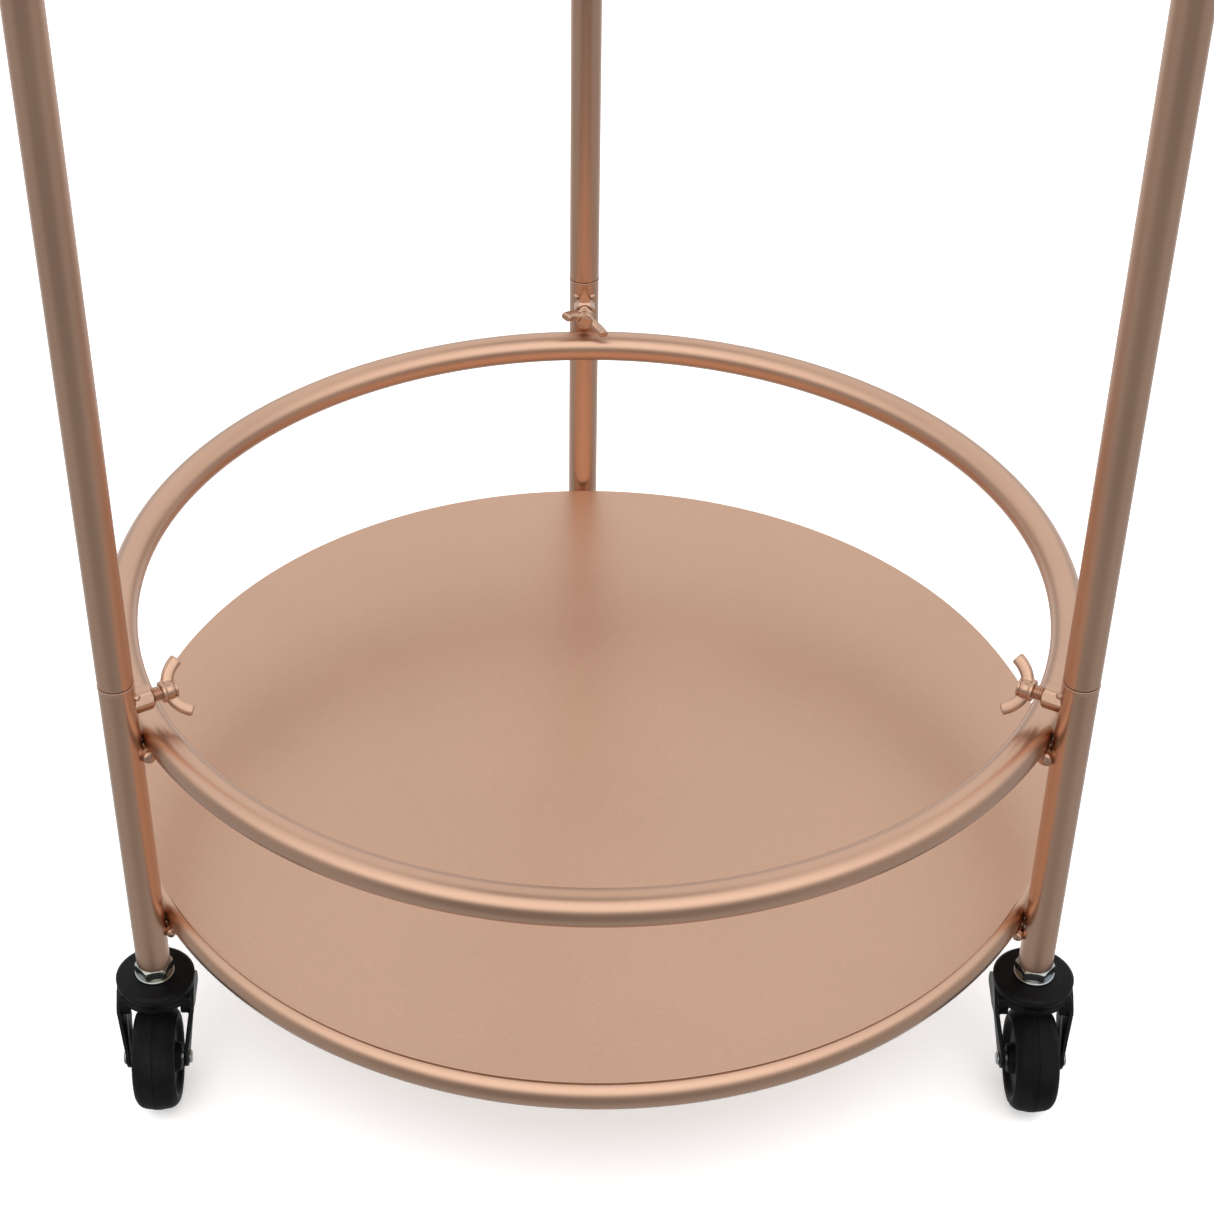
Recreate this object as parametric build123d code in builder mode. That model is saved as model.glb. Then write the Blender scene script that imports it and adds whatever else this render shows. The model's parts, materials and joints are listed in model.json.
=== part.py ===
from build123d import *
import os
from math import cos, hypot, radians, sin, sqrt

# Round garment rack: two welded rings and a round shelf on three short posts with casters, three long
# posts that plug into them, and a welded hanging ring that plugs onto those. Wing screws lock the plugs.
# Millimetres. The origin is on the floor under the centre of the rings, +Z is up, the back post is at +Y.

# Posts and casters: direction from the rack's axis, and the way each wheel trails, in degrees
azimuth = {"left": 210, "right": -30, "back": 90}
trail_azimuth = {"left": -88, "right": -91.6, "back": -90}

# Tube
tube_r = 9.5
tube_wall = 1.2
bore_r = tube_r - tube_wall
weld_gap = 0.05
ring_r = 265
post_r = ring_r + 2 * tube_r + weld_gap
edge_break = 0.35

# Heights
rack_height = 1500
foot_z = 82
base_ring_z = 112
mid_ring_z = 239.6
lower_seam_z = 280
seam_gap = 0.5
cap_height = 3.5
upper_end_z = rack_height - cap_height
hanging_ring_z = upper_end_z - 18
upper_seam_z = hanging_ring_z - (lower_seam_z - mid_ring_z)

# Shelf and the tack welds under it
shelf_r = 269.5
shelf_thickness = 1.2
shelf_z = base_ring_z + tube_r + weld_gap
tack_r = 2.8
tack_count = 6

# Weld beads under the rings, in the corner where they touch the posts
bead_r = {"base": 3.3, "mid": 3.9, "hanging": 3.9}
bead_inset = 2.2
bead_drop = 10.4

# Plug joint and its set screw
spigot_r = bore_r - 0.05
spigot_wall = 1.5
spigot_plug = 45
screw_drop = 15.5
screw_z = {"lower": lower_seam_z - screw_drop, "upper": upper_seam_z + screw_drop}
thread_r = 4
stud_r = thread_r - 0.05
stud_tip = spigot_r + 0.35
stud_end = 32.1
weld_nut_flats = 13
weld_nut_face = 18.5
nut_blob_r = 2
hub_r = 6
hub_start = 23.3
hub_end = 31.6
wing_thickness = 4.6
wing_tilt = {
    "lower": {"left": 53.5, "right": 122, "back": -28},
    "upper": {"left": 20, "right": -35, "back": 70},
}

# Caster: stem and its fasteners
stem_r = 5.95
stem_bore_r = 6
stem_nut_flats = 19
stem_nut_height = 6.8
washer_r = 12
washer_height = 1.8
plug_length = 26
king_r = 5
king_head_r = 8

# Caster: swivel head, fork and wheel
wheel_r = 29.7
wheel_half_width = 11.5
wheel_hub_half_width = 13.6
trail = 23.5
cap_top_z = foot_z - stem_nut_height - washer_height
cap_under_z = cap_top_z - 2.5
cap_r = 22.2
race_gap = 0.5
head_top_z = cap_under_z - race_gap
head_under_z = head_top_z - 3.4
head_r = 22
skirt_z = 61
skirt_wall = 2.2
ball_r = 1.6
ball_circle_r = 14
ball_count = 12
leg_thickness = 2.4
leg_top = 20.8
leg_axle = 16
leg_root_z = 62
axle_r = 2.95
leg_hole_r = 3.25
bush_bore_r = 3
axle_end = 19.4
bush_r = 4.05


def direction(degrees):
    """Level unit vector at an angle from +X."""
    return Vector(cos(radians(degrees)), sin(radians(degrees)), 0)


def post_plane(side, height):
    """Level plane on a post's axis, with x pointing at the rack's axis."""
    out = direction(azimuth[side])
    return Plane(origin=out * post_r + Vector(0, 0, height), x_dir=-out, z_dir=(0, 0, 1))


def post_section(side):
    """Upright plane through a post's axis: x is the distance from it inwards, y is the height."""
    level = post_plane(side, 0)
    return Plane(origin=level.origin, x_dir=level.x_dir, z_dir=-level.y_dir)


def post_axis(side):
    return Axis(post_plane(side, 0).origin, (0, 0, 1))


def screw_plane(side, level, reach, tilt=0):
    """Plane across a set screw: z runs along the screw towards the rack's axis, x is level plus the tilt."""
    base = post_plane(side, screw_z[level])
    across = base.y_dir * cos(radians(tilt)) + Vector(0, 0, 1) * sin(radians(tilt))
    return Plane(origin=base.origin + base.x_dir * reach, x_dir=across, z_dir=base.x_dir)


def wheel_plane(side):
    """Level plane through a wheel's centre: x points where the caster trails, y lies along the axle."""
    behind = direction(trail_azimuth[side])
    centre = post_plane(side, wheel_r).origin + behind * trail
    return Plane(origin=centre, x_dir=behind, z_dir=(0, 0, 1))


def write(part, name):
    part.label = name
    export_step(part, f"parts/{name}.step")


def tube(plane, length, outer, inner):
    """Straight tube with its outside edges broken."""
    with BuildPart() as pipe:
        with BuildSketch(plane):
            Circle(outer)
            Circle(inner, mode=Mode.SUBTRACT)
        extrude(amount=length)
        circles = pipe.edges().filter_by(GeomType.CIRCLE)
        chamfer(circles.filter_by(lambda edge: edge.radius > (outer + inner) / 2), edge_break)
    return pipe.part


def turned(plane, outline, axis):
    """Solid of revolution: a closed outline in a plane, carried round an axis."""
    with BuildPart() as shape:
        with BuildSketch(plane):
            with BuildLine():
                Polyline(*outline, close=True)
            make_face()
        revolve(axis=axis)
    return shape.part


def hex_nut(plane, across_flats, height, bore):
    """Hexagon nut, its corners chamfered at both faces."""
    corner_r = across_flats / sqrt(3)
    face_r = across_flats / 2 * 0.97
    slope = (corner_r - face_r) * 0.6
    envelope = turned(
        Plane(origin=plane.origin, x_dir=plane.x_dir, z_dir=-plane.y_dir),
        [
            (0, 0),
            (face_r, 0),
            (corner_r + 0.1, slope),
            (corner_r + 0.1, height - slope),
            (face_r, height),
            (0, height),
        ],
        Axis(plane.origin, plane.z_dir),
    )
    with BuildPart() as nut:
        with BuildSketch(plane):
            RegularPolygon(across_flats / 2, 6, major_radius=False)
        extrude(amount=height)
        add(envelope, mode=Mode.INTERSECT)
        with BuildSketch(plane):
            Circle(bore)
        extrude(amount=height, mode=Mode.SUBTRACT)
    return nut.part


def make_ring(height):
    """Tube bent to a circle and welded shut."""
    with BuildPart() as ring:
        with BuildSketch(Plane.XZ):
            with Locations((ring_r, height)):
                Circle(tube_r)
                Circle(bore_r, mode=Mode.SUBTRACT)
        revolve(axis=Axis.Z)
    return ring.part


def make_weld_beads(ring, height):
    """A bead of weld at each post, in the corner under the ring."""
    with BuildPart() as beads:
        for side in azimuth:
            out = direction(azimuth[side])
            corner = out * (ring_r + tube_r - bead_inset) + Vector(0, 0, height - bead_drop)
            with Locations(Plane(origin=corner, z_dir=out)):
                Sphere(bead_r[ring])
        with Locations((0, 0, height)):
            Torus(ring_r, tube_r, mode=Mode.SUBTRACT)
        for side in azimuth:
            with BuildSketch(post_plane(side, height - 2 * tube_r)):
                Circle(tube_r)
            extrude(amount=2 * tube_r, mode=Mode.SUBTRACT)
    return beads.part


def make_stub(side, level, low_z, high_z):
    """Short post welded to a ring, drilled through its inner side for the set screw."""
    pipe = tube(post_plane(side, low_z), high_z - low_z, tube_r, bore_r)
    with BuildPart() as stub:
        add(pipe)
        with BuildSketch(screw_plane(side, level, 0)):
            Circle(thread_r + 0.2)
        extrude(amount=tube_r + 1, mode=Mode.SUBTRACT)
    return stub.part


def make_weld_nuts(level):
    """Hexagon nuts for the set screws, the end at the post shaped to it."""
    nuts = [hex_nut(screw_plane(side, level, 0), weld_nut_flats, weld_nut_face, thread_r) for side in azimuth]
    with BuildPart() as weld_nuts:
        add(nuts)
        for side in azimuth:
            with BuildSketch(post_plane(side, screw_z[level] - weld_nut_flats)):
                Circle(tube_r)
            extrude(amount=2 * weld_nut_flats, mode=Mode.SUBTRACT)
    return weld_nuts.part


def make_nut_blobs(level):
    """Two blobs of weld on the upper corners of each weld nut, where it meets the post."""
    half_flats = weld_nut_flats / 2
    with BuildPart() as blobs:
        for side in azimuth:
            with Locations(screw_plane(side, level, 8.4)):
                with Locations((-half_flats + 1, half_flats), (half_flats - 1, half_flats)):
                    Sphere(nut_blob_r)
        for side in azimuth:
            with BuildSketch(screw_plane(side, level, 0)):
                RegularPolygon(half_flats, 6, major_radius=False)
            extrude(amount=weld_nut_face, mode=Mode.SUBTRACT)
            with BuildSketch(post_plane(side, screw_z[level] - weld_nut_flats)):
                Circle(tube_r)
            extrude(amount=2 * weld_nut_flats, mode=Mode.SUBTRACT)
    return blobs.part


def make_stud(side, level):
    """Threaded stud that runs in the weld nut and bears on the spigot."""
    section = post_section(side)
    plane = Plane(
        origin=section.origin + Vector(0, 0, screw_z[level]), x_dir=section.x_dir, z_dir=section.z_dir
    )
    tip_break = 0.8
    outline = [
        (stud_tip, 0),
        (stud_tip, stud_r - tip_break),
        (stud_tip + tip_break, stud_r),
        (stud_end - tip_break, stud_r),
        (stud_end, stud_r - tip_break),
        (stud_end, 0),
    ]
    return turned(plane, outline, Axis(plane.origin, plane.x_dir))


def make_wing_head(side, level):
    """Cast hub with two flared wings, pressed on the stud's end."""
    across = screw_plane(side, level, hub_start, wing_tilt[level][side])
    along = Plane(origin=across.origin, x_dir=across.x_dir, z_dir=-across.y_dir)
    hub_length = hub_end - hub_start
    with BuildPart() as head:
        with BuildSketch(across):
            Circle(hub_r)
        extrude(amount=hub_length)
        chamfer(head.edges().filter_by(GeomType.CIRCLE), 0.8)
        with BuildSketch(along) as wings:
            with BuildLine():
                Polyline(
                    (0, 0.9),
                    (5.4, 0.9),
                    (9, 2.6),
                    (16.6, 8.6),
                    (12.4, 14.2),
                    (6, 8.2),
                    (0, 7),
                    close=True,
                )
            make_face()
            mirror(about=Plane.YZ)
            fillet(wings.vertices().group_by(Axis(across.origin, across.z_dir))[-1], 1.6)
        extrude(amount=wing_thickness / 2, both=True)
        with BuildSketch(across):
            Circle(thread_r)
        extrude(amount=hub_length, mode=Mode.SUBTRACT)
    return head.part


def make_spigots(low_z):
    """Inner sleeves that join a stub to a long post, one at each post."""
    sleeves = [
        tube(post_plane(side, low_z), 2 * spigot_plug, spigot_r, spigot_r - spigot_wall) for side in azimuth
    ]
    with BuildPart() as spigots:
        add(sleeves)
    return spigots.part


def make_post_caps():
    """Domed plugs that close the tops of the upper stubs."""
    plug_depth = 8
    outline = [
        (0, upper_end_z - plug_depth),
        (spigot_r - 0.6, upper_end_z - plug_depth),
        (spigot_r, upper_end_z - plug_depth + 1),
        (spigot_r, upper_end_z),
        (tube_r, upper_end_z),
        (tube_r, upper_end_z + 1.2),
        (tube_r - 1.2, upper_end_z + 2.4),
        (tube_r - 4, rack_height - 0.3),
        (0, rack_height),
    ]
    plugs = [turned(post_section(side), outline, post_axis(side)) for side in azimuth]
    with BuildPart() as post_caps:
        add(plugs)
    return post_caps.part


def make_stems():
    """Caster stems: threaded above, a plain king pin below, riveted over under the fork's head."""
    outline = [
        (0, foot_z + plug_length),
        (stem_r - 1, foot_z + plug_length),
        (stem_r, foot_z + plug_length - 1),
        (stem_r, cap_under_z),
        (king_r, cap_under_z),
        (king_r, head_under_z - 0.3),
        (king_head_r, head_under_z - 0.3),
        (king_head_r, head_under_z - 1.6),
        (king_r, head_under_z - 2.8),
        (0, head_under_z - 2.8),
    ]
    pins = [turned(post_section(side), outline, post_axis(side)) for side in azimuth]
    with BuildPart() as stems:
        add(pins)
    return stems.part


def make_caster_cap(side):
    """Dished cover over the ball race, fixed with the stem."""
    outline = [
        (stem_bore_r, cap_under_z),
        (stem_bore_r, cap_top_z),
        (washer_r + 1, cap_top_z),
        (cap_r - 2, cap_top_z - 1),
        (cap_r - 0.5, cap_top_z - 1.5),
        (cap_r, cap_under_z + 0.6),
        (cap_r, cap_under_z),
    ]
    dish = turned(post_section(side), outline, post_axis(side))
    with BuildPart() as cap:
        add(dish)
        with Locations(post_plane(side, head_top_z + race_gap / 2)):
            Torus(ball_circle_r, ball_r + 0.1, mode=Mode.SUBTRACT)
    return cap.part


def make_race_balls(side):
    with BuildPart() as balls:
        with Locations(post_plane(side, head_top_z + race_gap / 2)):
            with PolarLocations(ball_circle_r, ball_count):
                Sphere(ball_r)
    return balls.part


def make_fork(side):
    """Round swivel head with a skirt, and two flat legs that slope back to the axle."""
    axle = wheel_plane(side)
    head = turned(
        post_section(side),
        [
            (king_r + 0.05, head_under_z),
            (king_r + 0.05, head_top_z),
            (head_r - 0.6, head_top_z),
            (head_r, head_top_z - 0.6),
            (head_r, skirt_z),
            (head_r - skirt_wall, skirt_z),
            (head_r - skirt_wall, head_under_z),
        ],
        post_axis(side),
    )
    leg_rise = leg_root_z - wheel_r
    lean = (leg_top - leg_axle) / hypot(leg_rise, leg_top - leg_axle)
    with BuildPart() as fork:
        add(head)
        with Locations(post_plane(side, head_top_z + race_gap / 2)):
            Torus(ball_circle_r, ball_r + 0.1, mode=Mode.SUBTRACT)
        for hand in (1, -1):
            up = Vector(0, 0, 1) * sqrt(1 - lean**2) + axle.y_dir * hand * lean
            foot = axle.origin + axle.y_dir * hand * leg_axle
            leg_plane = Plane(origin=foot, x_dir=axle.x_dir, z_dir=axle.x_dir.cross(up))
            with BuildSketch(leg_plane):
                with BuildLine():
                    Polyline(
                        (-37, 27),
                        (-36, 32),
                        (-29, 37),
                        (-17, 37),
                        (-9, 30),
                        (6.2, 4.6),
                        (-2, -7.2),
                        (-26, 12),
                        close=True,
                    )
                make_face()
                Circle(7.6)
                Circle(leg_hole_r, mode=Mode.SUBTRACT)
            extrude(amount=leg_thickness / 2, both=True)
    return fork.part


def make_axle(side):
    """Rivet through both legs, with a domed head at each end."""
    axle = wheel_plane(side)
    head_r_axle = 4.4
    head_start = axle_end - 1.5
    outline = [
        (0, -axle_end),
        (head_r_axle - 1.6, -axle_end),
        (head_r_axle, -head_start - 0.4),
        (head_r_axle, -head_start),
        (axle_r, -head_start),
        (axle_r, head_start),
        (head_r_axle, head_start),
        (head_r_axle, head_start + 0.4),
        (head_r_axle - 1.6, axle_end),
        (0, axle_end),
    ]
    return turned(axle, outline, Axis(axle.origin, axle.y_dir))


def make_axle_bush(side):
    """Sleeve held between the legs, on which the wheel turns."""
    axle = wheel_plane(side)
    half_length = 14.2
    outline = [
        (bush_bore_r, -half_length),
        (bush_r, -half_length),
        (bush_r, half_length),
        (bush_bore_r, half_length),
    ]
    return turned(axle, outline, Axis(axle.origin, axle.y_dir))


def make_wheel(side):
    """Moulded wheel: hub, dished web and a tread rounded at its shoulders."""
    axle = wheel_plane(side)
    half = [
        (bush_r + 0.05, wheel_hub_half_width),
        (8, wheel_hub_half_width),
        (9.2, 9),
        (20, 8),
        (22, wheel_half_width - 0.6),
        (24.6, wheel_half_width),
        (27.2, 9.8),
        (28.9, 7.4),
        (wheel_r, 3.6),
    ]
    outline = half + [(radius, -across) for radius, across in reversed(half)]
    return turned(axle, outline, Axis(axle.origin, axle.y_dir))


os.makedirs("parts", exist_ok=True)

# Rings, shelf and welds
write(make_ring(base_ring_z), "base_ring")
write(make_ring(mid_ring_z), "mid_ring")
write(make_ring(hanging_ring_z), "hanging_ring")
write(make_weld_beads("base", base_ring_z), "base_ring_welds")
write(make_weld_beads("mid", mid_ring_z), "mid_ring_welds")
write(make_weld_beads("hanging", hanging_ring_z), "hanging_ring_welds")

with BuildPart() as shelf:
    with BuildSketch(Plane.XY.offset(shelf_z)):
        Circle(shelf_r)
    extrude(amount=shelf_thickness)
    fillet(shelf.edges().filter_by(GeomType.CIRCLE), edge_break)
write(shelf.part, "shelf")

with BuildPart() as shelf_tacks:
    with Locations((0, 0, shelf_z - 1.6)):
        with PolarLocations(ring_r - 6.6, tack_count):
            Sphere(tack_r)
    with Locations((0, 0, base_ring_z)):
        Torus(ring_r, tube_r, mode=Mode.SUBTRACT)
    with BuildSketch(Plane.XY.offset(shelf_z)):
        Circle(shelf_r)
    extrude(amount=2 * tack_r, mode=Mode.SUBTRACT)
write(shelf_tacks.part, "shelf_tacks")

# Posts and the plug joints between them
for side in azimuth:
    write(make_stub(side, "lower", foot_z, lower_seam_z), f"{side}_lower_stub")
    write(make_stub(side, "upper", upper_seam_z, upper_end_z), f"{side}_upper_stub")
    long_post = tube(
        post_plane(side, lower_seam_z + seam_gap), upper_seam_z - lower_seam_z - 2 * seam_gap, tube_r, bore_r
    )
    write(long_post, f"{side}_long_post")
write(make_spigots(lower_seam_z - spigot_plug), "lower_spigots")
write(make_spigots(upper_seam_z - spigot_plug), "upper_spigots")
write(make_post_caps(), "post_caps")

# Set screws
for level in screw_z:
    write(make_weld_nuts(level), f"{level}_weld_nuts")
    write(make_nut_blobs(level), f"{level}_nut_welds")
    for side in azimuth:
        write(make_stud(side, level), f"{side}_{level}_stud")
        write(make_wing_head(side, level), f"{side}_{level}_wing_head")

# Caster fasteners
write(make_stems(), "caster_stems")
plug_sleeves = [tube(post_plane(side, foot_z), plug_length, spigot_r, stem_bore_r) for side in azimuth]
with BuildPart() as caster_plugs:
    add(plug_sleeves)
write(caster_plugs.part, "caster_plugs")
stem_nut_z = foot_z - stem_nut_height
nut_solids = [
    hex_nut(post_plane(side, stem_nut_z), stem_nut_flats, stem_nut_height, stem_bore_r) for side in azimuth
]
with BuildPart() as stem_nuts:
    add(nut_solids)
write(stem_nuts.part, "stem_nuts")
washer_bore_r = stem_bore_r + 0.3
washer_rings = [tube(post_plane(side, cap_top_z), washer_height, washer_r, washer_bore_r) for side in azimuth]
with BuildPart() as stem_washers:
    add(washer_rings)
write(stem_washers.part, "stem_washers")

# Casters
for side in azimuth:
    write(make_caster_cap(side), f"{side}_caster_cap")
    write(make_race_balls(side), f"{side}_race_balls")
    write(make_fork(side), f"{side}_fork")
    write(make_axle(side), f"{side}_axle")
    write(make_axle_bush(side), f"{side}_axle_bush")
    write(make_wheel(side), f"{side}_wheel")
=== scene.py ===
"""Round garment rack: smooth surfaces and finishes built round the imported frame, in metres."""

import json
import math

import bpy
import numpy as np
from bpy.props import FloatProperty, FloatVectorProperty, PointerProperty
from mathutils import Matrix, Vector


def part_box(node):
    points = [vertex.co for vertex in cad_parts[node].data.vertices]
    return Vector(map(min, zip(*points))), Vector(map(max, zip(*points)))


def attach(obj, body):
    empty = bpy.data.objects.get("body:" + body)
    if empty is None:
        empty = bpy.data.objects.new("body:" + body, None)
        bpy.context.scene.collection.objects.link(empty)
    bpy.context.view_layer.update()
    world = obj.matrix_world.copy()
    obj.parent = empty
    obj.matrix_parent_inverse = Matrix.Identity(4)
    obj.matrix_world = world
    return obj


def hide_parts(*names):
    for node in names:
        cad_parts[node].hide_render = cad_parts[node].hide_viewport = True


bl_info = {
    "name": "Round Garment Rack",
    "version": (1, 0, 0),
    "blender": (4, 5, 0),
    "location": "3D View > Sidebar > Garment Rack",
    "description": "Builds the tubes, shelf, wing screws and casters of a round garment rack",
    "category": "Object",
}

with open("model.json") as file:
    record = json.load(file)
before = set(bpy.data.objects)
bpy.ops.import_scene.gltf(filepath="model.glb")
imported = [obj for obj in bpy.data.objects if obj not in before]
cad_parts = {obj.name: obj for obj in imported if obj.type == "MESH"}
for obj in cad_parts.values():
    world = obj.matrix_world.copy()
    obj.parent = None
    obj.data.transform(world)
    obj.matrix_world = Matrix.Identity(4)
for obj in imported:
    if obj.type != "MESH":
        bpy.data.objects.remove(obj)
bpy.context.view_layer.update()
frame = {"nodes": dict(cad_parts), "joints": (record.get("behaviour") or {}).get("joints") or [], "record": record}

MM = 0.001
SIDES = ("left", "right", "back")
LEVELS = ("lower", "upper")
RINGS = ("base", "mid", "hanging")
UP = np.array([0.0, 0.0, 1.0])
NO_TRIANGLES = np.empty((0, 3), int)

RECORD = frame["record"]
JOINTS = {joint["name"]: joint for joint in frame["joints"]}
BODY_OF = {node: body for body, nodes in RECORD["behaviour"]["bodies"].items() for node in nodes}


def joint_point(name):
    return np.array(JOINTS[name]["pos_m"], float)


def joint_axis(name):
    axis = np.array(JOINTS[name]["axis"], float)
    return axis / np.linalg.norm(axis)


def heights(node):
    """Lowest and highest Z of a CAD node."""
    low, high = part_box(node)
    return low.z, high.z


POST_FOOT = {side: joint_point(f"{side}_caster_swivel") * (1, 1, 0) for side in SIDES}
INWARD = {side: joint_axis(f"{side}_lower_wing_turn") for side in SIDES}
AXLE = {side: joint_axis(f"{side}_wheel_spin") for side in SIDES}
SCREW_Z = {level: joint_point(f"back_{level}_wing_turn")[2] for level in LEVELS}
RING_Z = {ring: sum(heights(f"{ring}_ring")) / 2 for ring in RINGS}
TUBE_RADIUS = (heights("mid_ring")[1] - heights("mid_ring")[0]) / 2
RING_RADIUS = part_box("mid_ring")[1].y - TUBE_RADIUS
SHELF_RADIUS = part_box("shelf")[1].y
WHEEL_RADIUS = heights("left_wheel")[1] / 2
TRAIL = float(np.linalg.norm((joint_point("left_wheel_spin") - POST_FOOT["left"])[:2]))


def length(name, millimetres, description):
    """A size in the sidebar, kept in metres."""
    return FloatProperty(
        name=name, description=description, default=millimetres * MM, min=0, unit="LENGTH", precision=5
    )


def share(name, value, description):
    return FloatProperty(name=name, description=description, default=value, min=0, max=1, subtype="FACTOR")


def colour(name, value, description):
    return FloatVectorProperty(
        name=name, description=description, default=value, size=3, min=0, max=1, subtype="COLOR"
    )


class RackSizes(bpy.types.PropertyGroup):
    """Sizes of the surfaces that the frame's boxes and joints don't give."""

    tube_wall: length("Tube wall", 1.2, "Thickness of the steel tube")
    lip: length("Lip", 0.35, "Rounding of a cut tube end")
    flare: length("Flare", 0.25, "How far the mouth of a short post is rolled out")
    heat_pull: length("Heat pull", 0.18, "Dip that welding leaves in the tube beside each post")
    shelf_wave: length("Shelf wave", 0.12, "How far the sheet is from flat")
    spigot_radius: length("Spigot radius", 8.25, "Outside of the inner sleeves")
    spigot_wall: length("Spigot wall", 1.5, "Thickness of the inner sleeves")
    weld_nut_flats: length("Weld nut flats", 12.2, "Weld nut across its flats")
    weld_nut_face: length("Weld nut face", 18.5, "From the post's axis to the nut's free face")
    thread_radius: length("Thread radius", 3.95, "Crest of the set screw's thread")
    thread_pitch: length("Thread pitch", 1.25, "Travel of the set screw in one turn")
    hub_radius: length("Hub radius", 6, "Wing screw's hub")
    hub_start: length("Hub start", 23.3, "From the post's axis to the hub")
    hub_end: length("Hub end", 31.6, "From the post's axis to the hub's free face")
    stem_nut_flats: length("Stem nut flats", 19, "Caster nut across its flats")
    washer_radius: length("Washer radius", 11.2, "Washer under the caster nut")
    cap_radius: length("Cap radius", 22.2, "Cover of the caster's ball race")
    head_radius: length("Head radius", 22, "Swivel head of the fork")


class RackFinishes(bpy.types.PropertyGroup):
    """Colours and gloss of the rack's finishes."""

    rose_gold: colour("Rose gold", (0.6, 0.378, 0.266), "Metallic coat of the tubes, shelf and screws")
    tube_roughness: share("Tube roughness", 0.29, "Gloss of the drawn tube")
    sheet_roughness: share("Sheet roughness", 0.33, "Gloss of the shelf")
    zinc: colour("Zinc", (0.46, 0.48, 0.48), "Plating of the caster nuts and washers")
    nylon: colour("Black nylon", (0.003, 0.0032, 0.0035), "Caster forks and covers")
    rubber: colour("Black rubber", (0.003, 0.003, 0.003), "Wheels")


class RackStudio(bpy.types.PropertyGroup):
    """Camera and light."""

    lens: FloatProperty(name="Lens", description="Focal length on a 36 mm sensor", default=71.762, min=10)
    pitch: FloatProperty(
        name="Pitch", description="How far the camera looks down", default=math.radians(36.4504),
        subtype="ANGLE",
    )
    yaw: FloatProperty(
        name="Yaw", description="Camera's turn from +Y towards -X", default=0.03156, subtype="ANGLE"
    )
    roll: FloatProperty(
        name="Roll", description="Camera's turn about its view", default=-0.02125, subtype="ANGLE"
    )
    shift: FloatProperty(name="Shift", description="Sideways shift of the frame", default=0.10079)
    sky: FloatProperty(name="Sky", description="Brightness above the horizon", default=1.0, min=0)
    front: FloatProperty(name="Front", description="Extra brightness high in front", default=0.6, min=0)
    ground: FloatProperty(
        name="Ground", description="Brightness at and below the horizon", default=0.4, min=0
    )


# ------------------------------------------------------------------ surfaces


def outward(points, quads, triangles):
    """Turns every face round if the volume, a sixth of the sum of a . (b x c) over the triangles, is
    negative."""
    corners = np.vstack([quads[:, [0, 1, 2]], quads[:, [0, 2, 3]], triangles])
    a, b, c = (points[corners[:, k]] - points[0] for k in range(3))
    if np.einsum("ij,ij->", a, np.cross(b, c)) < 0:
        return points, quads[:, ::-1], triangles[:, ::-1]
    return points, quads, triangles


def skin(grid, wrap=False):
    """Closed surface over a grid of points: the columns join up, and the end rows either join up too or
    each run to a pole at their mean."""
    rows, columns = grid.shape[:2]
    points = grid.reshape(-1, 3)
    index = np.arange(rows * columns).reshape(rows, columns)
    near = np.vstack([index, index[:1]]) if wrap else index
    beside = np.roll(near, -1, 1)
    quads = np.stack([near[:-1], beside[:-1], beside[1:], near[1:]], -1).reshape(-1, 4)
    if wrap:
        return outward(points, quads, NO_TRIANGLES)
    poles = np.stack([grid[0].mean(0), grid[-1].mean(0)])
    pole = np.full(columns, rows * columns)
    triangles = np.vstack(
        [
            np.stack([pole, beside[0], near[0]], -1),
            np.stack([pole + 1, near[-1], beside[-1]], -1),
        ]
    )
    return outward(np.vstack([points, poles]), quads, triangles)


def merged(shapes):
    """Several shapes as one."""
    starts = np.cumsum([0] + [len(points) for points, _, _ in shapes[:-1]])
    return (
        np.vstack([points for points, _, _ in shapes]),
        np.vstack([quads + start for (_, quads, _), start in zip(shapes, starts)]),
        np.vstack([triangles + start for (_, _, triangles), start in zip(shapes, starts)]),
    )


def placed(shape, origin, x_axis, y_axis, z_axis, scale=1.0):
    """Shape carried from its own axes to a place: point = origin + scale * (x, y, z) . axes."""
    points, quads, triangles = shape
    return origin + scale * points @ np.stack([x_axis, y_axis, z_axis]), quads, triangles


def outline(*corners, closed=False, steps=6, hold=0.6 * MM):
    """Corners (radius, height, fillet) joined by straight runs, with an arc at each fillet: its centre is
    the corner + bisector * fillet / sin(half angle), and the arc swings between its two tangent points. A
    run longer than four holds gets a point one hold from each end, which keeps it flat in the shading."""
    table = np.array(corners, float)
    points, fillet = table[:, :2], table[:, 2:]
    back = np.roll(points, 1, 0) - points
    ahead = np.roll(points, -1, 0) - points
    back /= np.linalg.norm(back, axis=1, keepdims=True)
    ahead /= np.linalg.norm(ahead, axis=1, keepdims=True)
    half = np.arccos(np.clip((back * ahead).sum(1, keepdims=True), -1, 1)) / 2
    bisector = back + ahead
    bisector /= np.maximum(np.linalg.norm(bisector, axis=1, keepdims=True), 1e-12)
    centre = points + bisector * fillet / np.sin(half)
    reach = fillet / np.tan(half)
    swing = np.maximum(math.pi - 2 * half, 1e-9)[:, None]
    along = np.linspace(0, 1, steps)[None, :, None]
    start = (points + back * reach - centre)[:, None]
    end = (points + ahead * reach - centre)[:, None]
    arcs = (np.sin((1 - along) * swing) * start + np.sin(along * swing) * end) / np.sin(swing)
    line = (centre[:, None] + arcs).reshape(-1, 2)
    line = line[np.append(np.linalg.norm(np.diff(line, axis=0), axis=1) > 1e-9, True)]
    run = np.roll(line, -1, 0) - line
    distance = np.linalg.norm(run, axis=1, keepdims=True)
    step = run / np.maximum(distance, 1e-12) * hold
    long = distance[:, 0] > 4 * hold
    long[-1] &= closed
    held = np.stack([line, line + step, line + run - step], 1)
    return held[np.stack([np.full(len(line), True), long, long], 1)]


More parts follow.
